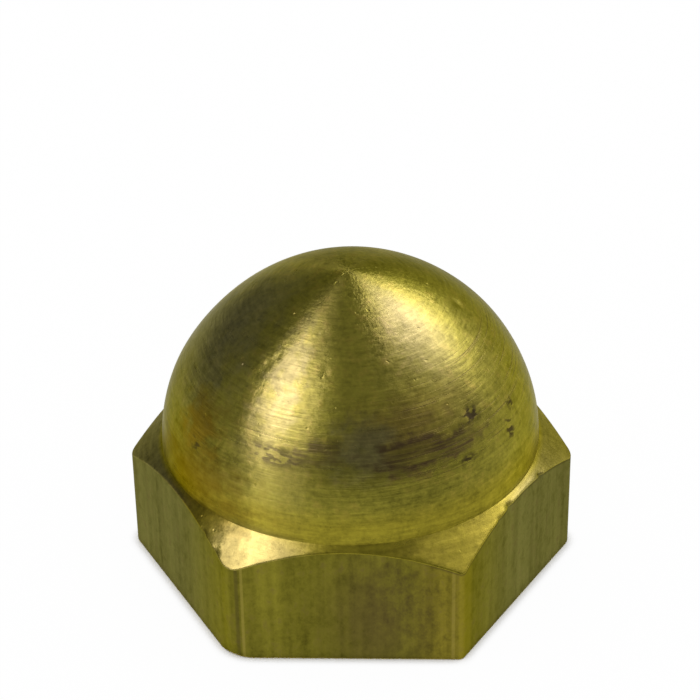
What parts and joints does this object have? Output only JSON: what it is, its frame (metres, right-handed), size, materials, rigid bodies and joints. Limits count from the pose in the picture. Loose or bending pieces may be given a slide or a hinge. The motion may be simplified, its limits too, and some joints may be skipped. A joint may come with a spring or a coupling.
{
  "type": "cap nut",
  "caption": "Domed hexagonal cap nut in turned brass, with a blind threaded hole closed by a rounded crown.",
  "frame": {"origin": "centre of the bearing face, on the thread axis", "axes": "+Z along the thread axis, from the bearing face to the top of the dome; two corners of the hexagon on X, two flats square to Y"},
  "size_m": [0.0194, 0.017, 0.014],
  "materials": {
    "brass": "turned and drawn, unpolished, with light tarnish"
  },
  "bodies": {
    "root": {"cap_nut": "brass"}
  },
  "joints": []
}
